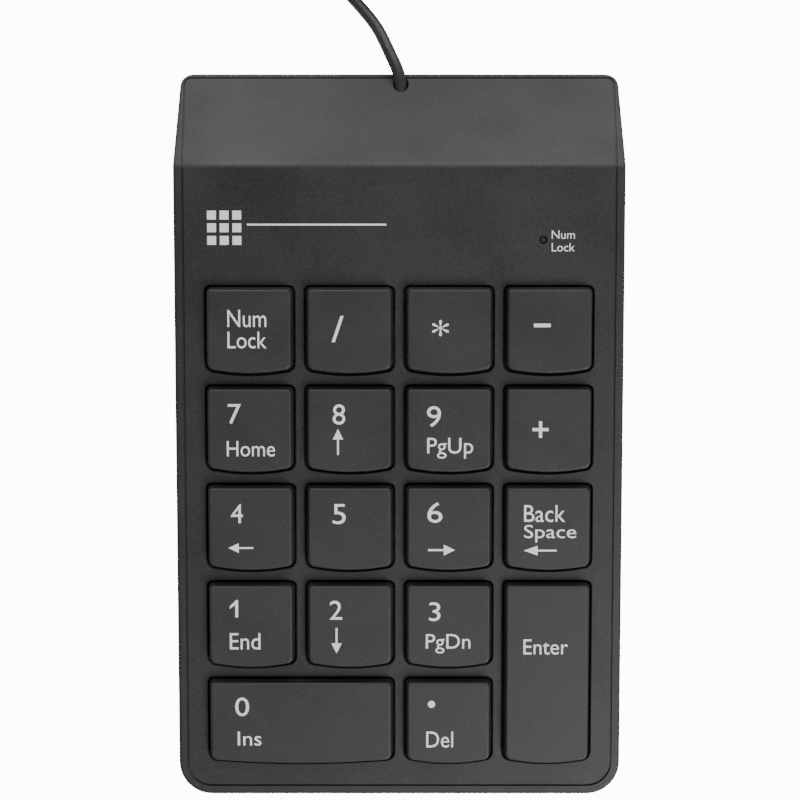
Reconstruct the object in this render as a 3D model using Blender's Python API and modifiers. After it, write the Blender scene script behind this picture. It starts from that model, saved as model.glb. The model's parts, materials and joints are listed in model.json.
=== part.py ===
"""Wired numeric keypad: 18 island keys on rubber domes, a membrane switch stack and a controller board
inside a wedge-shaped two-part case, with its USB lead wound into a coil behind it.

World frame: +X right, +Y to the rear, +Z up; the origin is under the case's centre, on the desk.
Deck frame: x right, u along the sloping deck towards the rear, n out of the deck; n is 0 on its top face.
"""

import itertools
import math

import bmesh
import bpy
from mathutils import Matrix, Vector

MM = 0.001
GAP = 0.3 * MM

# Case
CASE_WIDTH = 86.0 * MM
FRONT_Y = -70.5 * MM
REAR_Y = 70.85 * MM
FRONT_CORNER = 6.4 * MM
REAR_CORNER = 2.5 * MM
CREST_Y = 51.1 * MM
CREST_Z = 24.0 * MM
CREST_ROUNDING = 2.0 * MM
REAR_EDGE_Z = 7.3 * MM
DECK_TILT = math.radians(6.5)
WALL = 1.8 * MM
FLOOR_LOW = 1.0 * MM
FLOOR_TOP = 2.6 * MM
PARTING_Z = 4.5 * MM
BEYOND = 20.0 * MM

# Keys
PITCH = 19.05 * MM
FIRST_ROW_U = 19.98 * MM
COLUMNS = [(index - 1.5) * PITCH for index in range(4)]
ROWS = [FIRST_ROW_U - index * PITCH for index in range(5)]
OPENING = 17.2 * MM
SKIRT = 16.6 * MM
KEY_TOP = 15.8 * MM
KEY_RISE = 2.4 * MM
KEY_SKIRT_DEPTH = 2.9 * MM
KEY_WALL = 1.1 * MM
KEY_REAR_CORNER = 0.8 * MM
KEY_FRONT_CORNER = 1.4 * MM
KEY_FRONT_BOW = 0.65 * MM
KEY_TRAVEL = 2.0 * MM
PLUNGER_END = -2.0 * MM
PLUNGER_RADIUS = 2.0 * MM
HOOK_WIDTH = 4.0 * MM
HOOK_REACH = 0.7 * MM
HOOK_HEIGHT = 0.7 * MM
LONG_HOOK_OFFSET = 6.0 * MM

# Switch stack, as heights on the deck frame's n axis: (low face, top face)
SHEET = (-5.9 * MM, -5.4 * MM)
TOP_MEMBRANE = (-6.2 * MM, -6.05 * MM)
SPACER = (-6.5 * MM, -6.35 * MM)
BOTTOM_MEMBRANE = (-6.8 * MM, -6.65 * MM)
PLATE = (-7.6 * MM, -7.0 * MM)
BOARD = (-8.2 * MM, -7.0 * MM)
STACK_HALF_WIDTH = 36.2 * MM
STACK_FRONT_U = -65.4 * MM
STACK_REAR_U = 30.6 * MM
DOME_BASE = 4.4 * MM
DOME_CROWN = 2.3 * MM
DOME_TOP = -2.3 * MM
DOME_WALL = 0.5 * MM
CONTACT_RADIUS = 3.0 * MM

# Stabiliser wires of the two long keys
WIRE_RADIUS = 0.5 * MM
WIRE_ARM = 8.0 * MM
WIRE_BAR_V = 5.9 * MM
WIRE_BAR_N = -2.6 * MM
WIRE_HALF_BAR = 12.0 * MM
WIRE_END = 2.4 * MM
TAB_THICKNESS = 0.8 * MM
TAB_WIDTH = 3.0 * MM
TAB_OFFSET = WIRE_HALF_BAR + 1.3 * MM
TAB_TOP = -2.9 * MM
LEG_OFFSET = 9.0 * MM
LEG_END = -3.2 * MM

# Controller board and membrane clamp
BOARD_X = (-30.0 * MM, 34.0 * MM)
BOARD_U = (32.6 * MM, 50.0 * MM)
TAIL_END_U = 38.6 * MM
CLAMP_U = 35.5 * MM
CLAMP_SCREWS_X = (-23.5 * MM, -3.0 * MM, 17.5 * MM)
LED_X = 27.4 * MM
LED_U = 37.3 * MM
CONNECTOR_X = 8.0 * MM
CONNECTOR_U = 46.5 * MM

# Case screws, feet and label
SIDE_SCREW_X = 39.2 * MM
CASE_SCREWS = [
    (SIDE_SCREW_X, -46.4 * MM),
    (SIDE_SCREW_X, 10.4 * MM),
    (36.0 * MM, 60.5 * MM),
]
BOSS_RADIUS = 2.2 * MM
POST_RADIUS = 2.6 * MM
SCREW_RADIUS = 0.9 * MM
SCREW_HEAD = 1.7 * MM
FOOT_RADIUS = 4.0 * MM
FOOT_PLACES = [(x * MM, y * MM) for x in (-33.0, 33.0) for y in (-60.0, 50.0)]
LABEL_SIZE = (46.0 * MM, 28.0 * MM)

# Lead: 1.5 m of 2.4 mm cord, of which the coil holds what does not lie between the case and the plug
CORD_RADIUS = 1.2 * MM
CORD_HOLE_RADIUS = 1.55 * MM
CORD_EXIT_X = 0.3 * MM
CORD_EXIT_Z = 9.2 * MM
INNER_LEAD_RADIUS = 1.0 * MM
COIL_CENTRE = Vector((2.5, 112.0, 5.0)) * MM
COIL_INNER = 9.5 * MM
COIL_OUTER = 19.5 * MM
COIL_HEIGHT = 10.0 * MM
TIE_ANGLE = math.radians(300)
TIE_WIDTH = 4.0 * MM
TIE_INSIDE = 8.4 * MM
TIE_OUTSIDE = 10.0 * MM
PLUG_X = 31.2 * MM
PLUG_Z = 3.5 * MM

# Routes, in millimetres
INNER_LEAD_ROUTE = [
    (8.0, 50.0, 19.2), (7.8, 51.0, 19.0), (7.4, 52.4, 18.5), (6.7, 54.0, 17.2), (5.7, 55.6, 15.4),
    (4.5, 57.2, 13.4), (3.1, 58.8, 11.5), (1.7, 60.3, 10.1), (0.7, 61.6, 9.4), (0.35, 62.9, 9.2),
    (0.3, 64.2, 9.2),
]
CORD_ROUTE = [
    (0.33, 64.5, 9.2), (0.33, 66.6, 9.2), (0.25, 68.6, 9.2), (-0.05, 70.3, 9.15), (-0.7, 72.2, 8.9),
    (-1.6, 74.2, 8.3), (-2.43, 76.1, 7.7), (-3.28, 78.0, 6.9), (-4.25, 79.9, 6.0), (-5.4, 81.7, 5.1),
    (-6.75, 83.5, 4.2), (-8.2, 85.3, 3.3), (-9.75, 87.1, 2.5), (-11.3, 89.1, 1.9), (-12.8, 91.4, 1.5),
    (-14.1, 94.0, 1.25), (-15.1, 96.8, 1.2), (-15.6, 99.5, 1.2), (-15.75, 102.0, 1.2),
]
TAIL_ROUTE = [
    (10.5, 131.9, 8.0), (13.2, 132.3, 7.5), (16.0, 132.4, 6.9), (18.8, 132.0, 6.3), (21.5, 131.2, 5.7),
    (24.0, 129.9, 5.1), (26.3, 128.2, 4.6), (28.2, 126.1, 4.2), (29.7, 123.8, 3.8), (30.7, 121.4, 3.6),
    (31.2, 119.0, 3.5),
]

COLOURS = {
    "black_abs": ((0.045, 0.045, 0.047), 0.55, 0.0),
    "key_abs": ((0.055, 0.055, 0.057), 0.5, 0.0),
    "cord_pvc": ((0.02, 0.02, 0.02), 0.5, 0.0),
    "foot_rubber": ((0.03, 0.03, 0.03), 0.8, 0.0),
    "dome_silicone": ((0.62, 0.64, 0.66), 0.5, 0.0),
    "polyester_film": ((0.55, 0.62, 0.58), 0.3, 0.0),
    "zinc_steel": ((0.62, 0.63, 0.65), 0.35, 1.0),
    "board_laminate": ((0.05, 0.22, 0.10), 0.45, 0.0),
    "chip_epoxy": ((0.02, 0.02, 0.02), 0.4, 0.0),
    "clear_plastic": ((0.75, 0.9, 0.75), 0.15, 0.0),
    "white_nylon": ((0.8, 0.78, 0.72), 0.45, 0.0),
    "label_paper": ((0.75, 0.75, 0.74), 0.6, 0.0),
}


# ---------------------------------------------------------------- helpers

def clear_scene():
    for obj in list(bpy.data.objects):
        bpy.data.objects.remove(obj)


def new_collection(name):
    collection = bpy.data.collections.new(name)
    bpy.context.scene.collection.children.link(collection)
    return collection


def material(name):
    found = bpy.data.materials.get(name)
    if found:
        return found
    colour, roughness, metallic = COLOURS[name]
    made = bpy.data.materials.new(name)
    made.use_nodes = True
    shader = made.node_tree.nodes["Principled BSDF"]
    shader.inputs["Base Color"].default_value = (*colour, 1.0)
    shader.inputs["Roughness"].default_value = roughness
    shader.inputs["Metallic"].default_value = metallic
    return made


def link(obj, collection, place=(0, 0, 0), parent=None):
    collection.objects.link(obj)
    obj.location = place
    if parent:
        obj.parent = parent
    return obj


def dress(obj, material_name):
    """Gives the object one material and smooth shading with sharp edges kept."""
    obj.data.materials.clear()
    obj.data.materials.append(material(material_name))
    if obj.type == "MESH":
        obj.data.shade_smooth()
        obj.data.set_sharp_from_angle(angle=math.radians(35))
    return obj


def from_bmesh(name, bm):
    bmesh.ops.recalc_face_normals(bm, faces=bm.faces)
    mesh = bpy.data.meshes.new(name)
    bm.to_mesh(mesh)
    bm.free()
    return bpy.data.objects.new(name, mesh)


def baked(obj):
    """Replaces the object's shape by its evaluated mesh, with loose caps welded and modifiers used up."""
    bpy.context.view_layer.update()
    graph = bpy.context.evaluated_depsgraph_get()
    mesh = bpy.data.meshes.new_from_object(obj.evaluated_get(graph))
    bm = bmesh.new()
    bm.from_mesh(mesh)
    bmesh.ops.remove_doubles(bm, verts=bm.verts, dist=1e-6)
    bm.to_mesh(mesh)
    bm.free()
    name = obj.name
    result = bpy.data.objects.new(name, mesh)
    for collection in obj.users_collection:
        collection.objects.link(result)
    result.parent = obj.parent
    result.matrix_parent_inverse = obj.matrix_parent_inverse.copy()
    result.matrix_basis = obj.matrix_basis.copy()
    bpy.data.objects.remove(obj)
    result.name = name
    bpy.context.view_layer.update()
    return result


def box(name, low, high):
    """A box between two corners, whose origin is at its own frame's origin."""
    bm = bmesh.new()
    size = [b - a for a, b in zip(low, high)]
    centre = [(a + b) / 2 for a, b in zip(low, high)]
    where = Matrix.Translation(centre) @ Matrix.Diagonal((*size, 1))
    bmesh.ops.create_cube(bm, size=1, matrix=where)
    return from_bmesh(name, bm)


def cone(name, radius_low, radius_high, low, high, centre=(0, 0), sides=16):
    bm = bmesh.new()
    where = Matrix.Translation((*centre, (low + high) / 2))
    bmesh.ops.create_cone(
        bm, cap_ends=True, segments=sides, radius1=radius_low, radius2=radius_high,
        depth=high - low, matrix=where,
    )
    return from_bmesh(name, bm)


def cylinder(name, radius, low, high, centre=(0, 0), sides=16):
    return cone(name, radius, radius, low, high, centre, sides)


def flat_outline(name, loops, low, high, collection):
    """A plate between two heights whose first loop is its outline and whose other loops are holes."""
    curve = bpy.data.curves.new(name, "CURVE")
    curve.dimensions = "2D"
    curve.fill_mode = "BOTH"
    curve.extrude = (high - low) / 2
    for loop in loops:
        spline = curve.splines.new("POLY")
        spline.points.add(len(loop) - 1)
        for point, (x, y) in zip(spline.points, loop):
            point.co = (x, y, 0, 1)
        spline.use_cyclic_u = True
    obj = link(bpy.data.objects.new(name, curve), collection, (0, 0, (low + high) / 2))
    return baked(obj)


def corner_arc(centre, radius, start, steps):
    """Points of a quarter circle that starts at an angle given in degrees."""
    angles = [math.radians(start + 90 * step / steps) for step in range(steps + 1)]
    return [(centre[0] + radius * math.cos(a), centre[1] + radius * math.sin(a)) for a in angles]


def case_outline(inset):
    """The case's plan: large round corners at the front and small ones at the rear."""
    half = CASE_WIDTH / 2 - inset
    front, rear = FRONT_Y + inset, REAR_Y - inset
    front_r = FRONT_CORNER - inset
    rear_r = max(REAR_CORNER - inset, 0.5 * MM)
    points = corner_arc((half - rear_r, rear - rear_r), rear_r, 0, 4)
    points += corner_arc((-half + rear_r, rear - rear_r), rear_r, 90, 4)
    points += corner_arc((-half + front_r, front + front_r), front_r, 180, 8)
    points += corner_arc((half - front_r, front + front_r), front_r, 270, 8)
    return points


def key_outline(width, length, grow=0.0):
    """A key's plan, grown all round: small rear corners, larger front corners and a bowed front edge."""
    half, rear, front = width / 2 + grow, length / 2 + grow, -length / 2 - grow
    rear_r = max(KEY_REAR_CORNER + grow, 0.2 * MM)
    front_r = max(KEY_FRONT_CORNER + grow, 0.2 * MM)
    points = corner_arc((half - rear_r, rear - rear_r), rear_r, 0, 2)
    points += corner_arc((-half + rear_r, rear - rear_r), rear_r, 90, 2)
    low_corner = front + KEY_FRONT_BOW + front_r
    points += corner_arc((-half + front_r, low_corner), front_r, 180, 2)
    for share in (-0.5, 0.0, 0.5):
        points.append((share * (half - front_r), front + KEY_FRONT_BOW * share**2))
    points += corner_arc((half - front_r, low_corner), front_r, 270, 2)
    return points


def rectangle(x_low, x_high, y_low, y_high):
    return [(x_low, y_low), (x_high, y_low), (x_high, y_high), (x_low, y_high)]


def rounded(width, length, radius, centre, steps=2):
    half_x, half_y = width / 2 - radius, length / 2 - radius
    points = []
    for index, (sx, sy) in enumerate(((1, 1), (-1, 1), (-1, -1), (1, -1))):
        middle = (centre[0] + sx * half_x, centre[1] + sy * half_y)
        points += corner_arc(middle, radius, 90 * index, steps)
    return points


def circle(radius, centre, sides=12):
    angles = [2 * math.pi * step / sides for step in range(sides)]
    return [(centre[0] + radius * math.cos(a), centre[1] + radius * math.sin(a)) for a in angles]


def side_profile(name, points, half_width, collection):
    """A prism across the whole width from points given as (y, z)."""
    obj = flat_outline(name, [points], -half_width, half_width, collection)
    obj.rotation_euler = (math.pi / 2, 0, math.pi / 2)
    obj.location = (0, 0, 0)
    return obj


def turned(name, profile, steps, collection):
    """A turned solid from (radius, height) points that run down its outer side."""
    bm = bmesh.new()
    verts = [bm.verts.new((radius, 0, height)) for radius, height in profile]
    for one, two in zip(verts, verts[1:]):
        bm.edges.new((one, two))
    if profile[0][0] > 0:
        bm.edges.new((verts[-1], verts[0]))
    mesh = bpy.data.meshes.new(name)
    bm.to_mesh(mesh)
    bm.free()
    obj = link(bpy.data.objects.new(name, mesh), collection)
    screw = obj.modifiers.new("turn", "SCREW")
    screw.steps = screw.render_steps = steps
    screw.use_merge_vertices = True
    screw.merge_threshold = 1e-5
    return obj


def combine(obj, others, operation):
    """Adds or removes hidden helper solids with one Boolean for each."""
    for other in others:
        modifier = obj.modifiers.new(other.name, "BOOLEAN")
        modifier.operation = operation
        modifier.object = other
        modifier.solver = "EXACT"
    return obj


def helper(obj, place=(0, 0, 0), parent=None):
    link(obj, HELPERS, place, parent)
    return as_helper(obj)


def as_helper(obj):
    obj.hide_render = True
    obj.display_type = "WIRE"
    return obj


def combine_group(obj, name, others, operation):
    """One Boolean with a whole group of helper solids that don't touch one another."""
    group = bpy.data.collections.new(name)
    HELPERS.children.link(group)
    for other in others:
        for owner in list(other.users_collection):
            owner.objects.unlink(other)
        group.objects.link(other)
    modifier = obj.modifiers.new(name, "BOOLEAN")
    modifier.operation = operation
    modifier.operand_type = "COLLECTION"
    modifier.collection = group
    modifier.solver = "EXACT"
    return obj


def smooth_path(points, spacing):
    """Points of a smooth curve through the route, about `spacing` apart."""
    route = [Vector(point) * MM for point in points]
    padded = [2 * route[0] - route[1]] + route + [2 * route[-1] - route[-2]]
    dense = []
    for a, b, c, d in zip(padded, padded[1:], padded[2:], padded[3:]):
        for step in range(8):
            t = step / 8
            dense.append(
                0.5 * (2 * b + (c - a) * t + (2 * a - 5 * b + 4 * c - d) * t**2
                       + (3 * b - a - 3 * c + d) * t**3)
            )
    dense.append(route[-1])
    lengths = [0.0]
    for one, two in zip(dense, dense[1:]):
        lengths.append(lengths[-1] + (two - one).length)
    count = max(2, round(lengths[-1] / spacing))
    result, index = [], 0
    for step in range(count + 1):
        target = lengths[-1] * step / count
        while index < len(lengths) - 2 and lengths[index + 1] < target:
            index += 1
        share = (target - lengths[index]) / (lengths[index + 1] - lengths[index])
        result.append(dense[index].lerp(dense[index + 1], share))
    return result


def tube(name, points, radius, collection, resolution=2):
    curve = bpy.data.curves.new(name, "CURVE")
    curve.dimensions = "3D"
    curve.bevel_depth = radius
    curve.bevel_resolution = resolution
    curve.use_fill_caps = True
    spline = curve.splines.new("POLY")
    spline.points.add(len(points) - 1)
    for target, point in zip(spline.points, points):
        target.co = (*point, 1)
    obj = link(bpy.data.objects.new(name, curve), collection)
    return baked(obj)


# ---------------------------------------------------------------- case

def deck_z(y):
    return CREST_Z - (CREST_Y - y) * math.tan(DECK_TILT)


REAR_SLOPE = math.atan2(CREST_Z - REAR_EDGE_Z, REAR_Y - CREST_Y)


def top_profile(inset):
    """Deck line, crest and rear slope as (y, z) points, moved inwards by `inset`."""
    deck_drop = inset / math.cos(DECK_TILT)
    slope_drop = inset / math.cos(REAR_SLOPE)
    y_crest = CREST_Y - (slope_drop - deck_drop) / (math.tan(REAR_SLOPE) + math.tan(DECK_TILT))
    z_crest = deck_z(y_crest) - deck_drop
    y_low = FRONT_Y - BEYOND
    y_high = REAR_Y + BEYOND
    z_high = z_crest - (y_high - y_crest) * math.tan(REAR_SLOPE)
    radius = max(CREST_ROUNDING - inset, 0.2 * MM)
    half_turn = (REAR_SLOPE + DECK_TILT) / 2
    back_off = radius / math.cos(half_turn)
    lean = (REAR_SLOPE - DECK_TILT) / 2
    centre = (y_crest - back_off * math.sin(lean), z_crest - back_off * math.cos(lean))
    crest = []
    for step in range(5):
        angle = math.pi / 2 + DECK_TILT - step / 4 * 2 * half_turn
        crest.append((centre[0] + radius * math.cos(angle), centre[1] + radius * math.sin(angle)))
    return [(y_low, deck_z(y_low) - deck_drop)] + crest + [(y_high, z_high)]


def case_block(name, inset, low):
    """The case's solid block above a height, with its sloping deck and rear, moved inwards by `inset`."""
    block = as_helper(flat_outline(name, [case_outline(inset)], low, 40 * MM, HELPERS))
    line = top_profile(inset)
    deep = -60 * MM
    roof = [(line[0][0], deep)] + line + [(line[-1][0], deep)]
    shape = as_helper(side_profile(name + "_side", roof, CASE_WIDTH, HELPERS))
    combine(block, [shape], "INTERSECT")
    return as_helper(baked(block))


def both_sides(places):
    return [(sign * x, y) for x, y in places for sign in (-1, 1)]


def key_list():
    """(name, x, u, width, length) of every key, from the rear row to the front."""
    names = [
        ["key_num_lock", "key_divide", "key_multiply", "key_minus"],
        ["key_7", "key_8", "key_9", "key_plus"],
        ["key_4", "key_5", "key_6", "key_backspace"],
        ["key_1", "key_2", "key_3"],
    ]
    keys = []
    for row, row_names in zip(ROWS, names):
        keys += [(name, x, row, 1, 1) for name, x in zip(row_names, COLUMNS)]
    keys.append(("key_enter", COLUMNS[3], (ROWS[3] + ROWS[4]) / 2, 1, 2))
    keys.append(("key_0", (COLUMNS[0] + COLUMNS[1]) / 2, ROWS[4], 2, 1))
    keys.append(("key_decimal", COLUMNS[2], ROWS[4], 1, 1))
    return keys


def web_crossings():
    """Where four deck openings meet, the deck has a round post that holds the dome sheet down."""
    webs = [(one + two) / 2 for one, two in zip(ROWS, ROWS[1:])]
    wide = [(x, u) for x in (-PITCH, PITCH) for u in (webs[0], webs[2])]
    return wide + [(0.0, webs[1]), (0.0, webs[3])]


def make_top_case():
    case = case_block("top_case", 0.0, PARTING_Z + GAP / 2)
    cavity = case_block("case_cavity", WALL, 0.0)
    bosses = [
        helper(cylinder(f"boss_{i}", BOSS_RADIUS, PARTING_Z + GAP / 2, 45 * MM, place))
        for i, place in enumerate(both_sides(CASE_SCREWS))
    ]
    posts = [
        helper(cylinder(f"web_post_{i}", 1.5 * MM, SHEET[1] + GAP, 9 * MM, place, 12), parent=DECK)
        for i, place in enumerate(web_crossings())
    ]
    combine_group(cavity, "cavity_posts", bosses + posts, "DIFFERENCE")
    combine(case, [cavity], "DIFFERENCE")
    cuts = []
    for name, x, u, across, along in key_list():
        width, length = key_size(across, along)
        plan = key_outline(width, length, (OPENING - SKIRT) / 2)
        outline = [(x + a, u + b) for a, b in plan]
        hole = flat_outline(name + "_opening", [outline], -4 * MM, 6 * MM, HELPERS)
        hole.parent = DECK
        cuts.append(as_helper(hole))
    cuts.append(helper(cylinder("led_hole", 0.8 * MM, -4 * MM, 4 * MM, (LED_X, LED_U), 12), parent=DECK))
    for i, place in enumerate(both_sides(CASE_SCREWS)):
        depth = min(deck_z(place[1]) - 2.4 * MM, 12.3 * MM)
        cuts.append(helper(cylinder(f"boss_pilot_{i}", SCREW_RADIUS + GAP, 4 * MM, depth, place, 12)))
    cord_hole = helper(cylinder("cord_hole", CORD_HOLE_RADIUS, -7 * MM, 7 * MM, sides=20))
    cord_hole.rotation_euler = (math.pi / 2, 0, 0)
    cord_hole.location = (CORD_EXIT_X, 67 * MM, CORD_EXIT_Z)
    cuts.append(cord_hole)
    combine_group(case, "top_case_cuts", cuts, "DIFFERENCE")
    return finish(case, "black_abs")


def finish(obj, material_name):
    """Bakes a combined helper and moves it to the parts as a finished node."""
    result = baked(obj)
    for owner in list(result.users_collection):
        owner.objects.unlink(result)
    PARTS.objects.link(result)
    result.hide_render = False
    result.display_type = "TEXTURED"
    return dress(result, material_name)


def rib(x, index):
    """An upright rib whose top follows the slope under the backing plate."""
    low_y, high_y = -64 * MM, 29 * MM
    drop = (-PLATE[0] + GAP) / math.cos(DECK_TILT)
    top = [(high_y, deck_z(high_y) - drop), (low_y, deck_z(low_y) - drop)]
    shape = side_profile(
        f"rib_{index}", [(low_y, 1.8 * MM), (high_y, 1.8 * MM)] + top, 0.6 * MM, HELPERS
    )
    shape.location.x = x
    return as_helper(shape)


def make_bottom_case():
    block = [case_outline(0.0)]
    tray = as_helper(
        flat_outline("bottom_case", block, FLOOR_LOW, PARTING_Z - GAP / 2, HELPERS)
    )
    inside = flat_outline("tray_inside", [case_outline(WALL)], FLOOR_TOP, 9 * MM, HELPERS)
    combine(tray, [as_helper(inside)], "DIFFERENCE")
    added = [
        helper(cylinder(f"post_{i}", POST_RADIUS, 1.6 * MM, PARTING_Z - GAP / 2, place))
        for i, place in enumerate(both_sides(CASE_SCREWS))
    ]
    added += [rib(x, i) for i, x in enumerate((-PITCH, 0.0, PITCH))]
    stand = BOARD[0] - GAP
    for i, x in enumerate(CLAMP_SCREWS_X):
        low = -20.2 * MM
        added.append(helper(cylinder(f"stand_{i}", 2.4 * MM, low, stand, (x, CLAMP_U)), parent=DECK))
    for i, x in enumerate((-27 * MM, 30 * MM)):
        low = -21.2 * MM
        added.append(
            helper(cylinder(f"rest_{i}", 1.6 * MM, low, stand, (x, 46.5 * MM), 12), parent=DECK)
        )
    for i, side in enumerate((-2.3 * MM, 2.4 * MM)):
        place = (CORD_EXIT_X + side, 62 * MM)
        added.append(helper(cylinder(f"lead_peg_{i}", 0.9 * MM, 1.6 * MM, 10.6 * MM, place, 10)))
    combine_group(tray, "tray_additions", added, "UNION")
    cuts = []
    for i, place in enumerate(both_sides(CASE_SCREWS)):
        cuts.append(helper(cylinder(f"sink_{i}", SCREW_HEAD + GAP, 0.0, 2.9 * MM, place, 16)))
        cuts.append(helper(cylinder(f"clear_{i}", SCREW_RADIUS + GAP, 2.0 * MM, 8 * MM, place, 12)))
    cuts_low = [cut for cut in cuts if cut.name.startswith("sink")]
    cuts_thin = [cut for cut in cuts if cut.name.startswith("clear")]
    for i, place in enumerate(FOOT_PLACES):
        cuts_low.append(helper(cylinder(f"foot_seat_{i}", FOOT_RADIUS + GAP, 0.0, 1.8 * MM, place, 24)))
    label = rounded(LABEL_SIZE[0] + 2 * GAP, LABEL_SIZE[1] + 2 * GAP, 1.5 * MM, (0, 0))
    cuts_low.append(as_helper(flat_outline("label_seat", [label], 0.0, 1.3 * MM, HELPERS)))
    for i, x in enumerate(CLAMP_SCREWS_X):
        cuts_thin.append(
            helper(cylinder(f"stand_pilot_{i}", SCREW_RADIUS + GAP, -14.5 * MM, -5 * MM, (x, CLAMP_U), 12),
                   parent=DECK)
        )
    combine_group(tray, "tray_seats", cuts_low, "DIFFERENCE")
    combine_group(tray, "tray_holes", cuts_thin, "DIFFERENCE")
    return finish(tray, "black_abs")


# ---------------------------------------------------------------- keys

def key_size(across, along):
    """Width and length of a keycap's skirt."""
    return SKIRT + (across - 1) * PITCH, SKIRT + (along - 1) * PITCH


def key_shell(name, width, length):
    """The keycap's shell, open below, whose sides lean in from the deck to the top."""
    bm = bmesh.new()
    lean = (SKIRT - KEY_TOP) / 2
    levels = [
        (-KEY_SKIRT_DEPTH, KEY_WALL), (-KEY_SKIRT_DEPTH, 0.0), (0.0, 0.0), (KEY_RISE, lean),
        (KEY_RISE - KEY_WALL, KEY_WALL + lean), (0.0, KEY_WALL),
    ]
    rings = []
    for height, inset in levels:
        plan = key_outline(width, length, -inset)
        rings.append([bm.verts.new((x, y, height)) for x, y in plan])
    joined = [(0, 1), (1, 2), (2, 3), (4, 5), (5, 0)]
    for low, high in ((rings[a], rings[b]) for a, b in joined):
        for i in range(len(low)):
            j = (i + 1) % len(low)
            bm.faces.new((low[i], low[j], high[j], high[i]))
    bm.faces.new(rings[3])
    bm.faces.new(list(reversed(rings[4])))
    return link(from_bmesh(name, bm), HELPERS)


def turned_box(name, low, high, is_turned):
    """A helper box, turned by a quarter for a key whose long side runs front to rear."""
    made = helper(box(name, low, high))
    if is_turned:
        made.rotation_euler = (0, 0, math.pi / 2)
    return made


def key_hooks(name, width, length, middles):
    """Hooks at the foot of the skirt's front and rear that catch under the deck."""
    hooks = []
    for side, middle in itertools.product((-1, 1), middles):
        ends = sorted((side * (length / 2 - 0.7 * MM), side * (length / 2 + HOOK_REACH)))
        low = (middle - HOOK_WIDTH / 2, ends[0], -KEY_SKIRT_DEPTH)
        high = (middle + HOOK_WIDTH / 2, ends[1], -KEY_SKIRT_DEPTH + HOOK_HEIGHT)
        hooks.append(helper(box(name + "_hook", low, high)))
    return hooks


def key_mesh(name, across, along):
    """A keycap with its plunger and hooks and, on a long key, two slotted legs for its wire."""
    width, length = key_size(across, along)
    shell = key_shell(name, width, length)
    inside_top = KEY_RISE - 0.4 * MM
    added = [helper(cylinder(name + "_plunger", PLUNGER_RADIUS, PLUNGER_END, inside_top, sides=12))]
    middles = (-LONG_HOOK_OFFSET, LONG_HOOK_OFFSET) if across == 2 else (0.0,)
    added += key_hooks(name, width, length, middles)
    is_long = across + along > 2
    if is_long:
        for side in (-1, 1):
            middle = side * LEG_OFFSET
            low = (middle - 0.7 * MM, WIRE_BAR_V - 1.2 * MM, LEG_END)
            high = (middle + 0.7 * MM, WIRE_BAR_V + 1.6 * MM, inside_top)
            added.append(turned_box(f"{name}_leg", low, high, along == 2))
    combine_group(shell, name + "_added", added, "UNION")
    if is_long:
        low = (-LEG_OFFSET - MM, WIRE_BAR_V - 0.75 * MM, LEG_END - MM)
        high = (LEG_OFFSET + MM, WIRE_BAR_V + 0.75 * MM, WIRE_BAR_N + WIRE_RADIUS + 0.2 * MM)
        combine(shell, [turned_box(name + "_slot", low, high, along == 2)], "DIFFERENCE")
    shaped = baked(shell)
    mesh = shaped.data
    bpy.data.objects.remove(shaped)
    return mesh


def make_keys():
    meshes = {}
    for name, x, u, across, along in key_list():
        size = (across, along)
        if size not in meshes:
            meshes[size] = key_mesh("keycap_{}_by_{}".format(*size), across, along)
        key = link(bpy.data.objects.new(name, meshes[size]), PARTS, (x, u, 0), DECK)
        dress(key, "key_abs")


def long_keys():
    """(key name, x, u, turn about n) of the keys that carry a stabiliser wire."""
    return [
        (name, x, u, math.pi / 2 if along == 2 else 0.0)
        for name, x, u, across, along in key_list() if across + along > 2
    ]


def tab_places():
    """The middle of each pair of upright plate tabs that hold a wire's ends, as (x, u, turn)."""
    places = []
    for _, x, u, turn in long_keys():
        for side in (-1, 1):
            local = Vector((side * TAB_OFFSET, WIRE_BAR_V - WIRE_ARM, 0))
            local.rotate(Matrix.Rotation(turn, 3, "Z"))
            places.append((x + local.x, u + local.y, turn))
    return places


def make_stabilisers():
    pivot_n = WIRE_BAR_N - KEY_TRAVEL / 2
    drop = math.sqrt(WIRE_ARM**2 - (KEY_TRAVEL / 2) ** 2)
    for key_name, x, u, turn in long_keys():
        half = WIRE_HALF_BAR
        bend = 1.0 * MM
        side = [
            (half + WIRE_END, 0), (half + bend, 0), (half, bend),
            (half, drop - bend), (half - bend, drop),
        ]
        rise = KEY_TRAVEL / 2 / drop
        points = [Vector((a, b, b * rise)) for a, b in side]
        points += [Vector((-a, b, b * rise)) for a, b in reversed(side)]
        name = key_name.replace("key_", "") + "_stabiliser_wire"
        wire = tube("zero" + name[1:] if name.startswith("0") else name, points, WIRE_RADIUS, PARTS)
        offset = Vector((0, WIRE_BAR_V - WIRE_ARM, 0))
        offset.rotate(Matrix.Rotation(turn, 3, "Z"))
        wire.parent = DECK
        wire.location = (x + offset.x, u + offset.y, pivot_n)
        wire.rotation_euler = (0, 0, turn)
        dress(wire, "zinc_steel")


# ---------------------------------------------------------------- switch stack

def switch_places():
    return [(x, u) for _, x, u, _, _ in key_list()]


def tab_slots():
    """Slots in the sheets that the plate's tabs rise through."""
    slots = []
    for x, u, turn in tab_places():
        wide, narrow = TAB_WIDTH / 2 + GAP, TAB_THICKNESS / 2 + GAP
        half_x, half_u = (wide, narrow) if turn else (narrow, wide)
        slots.append(rectangle(x - half_x, x + half_x, u - half_u, u + half_u))
    return slots


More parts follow.
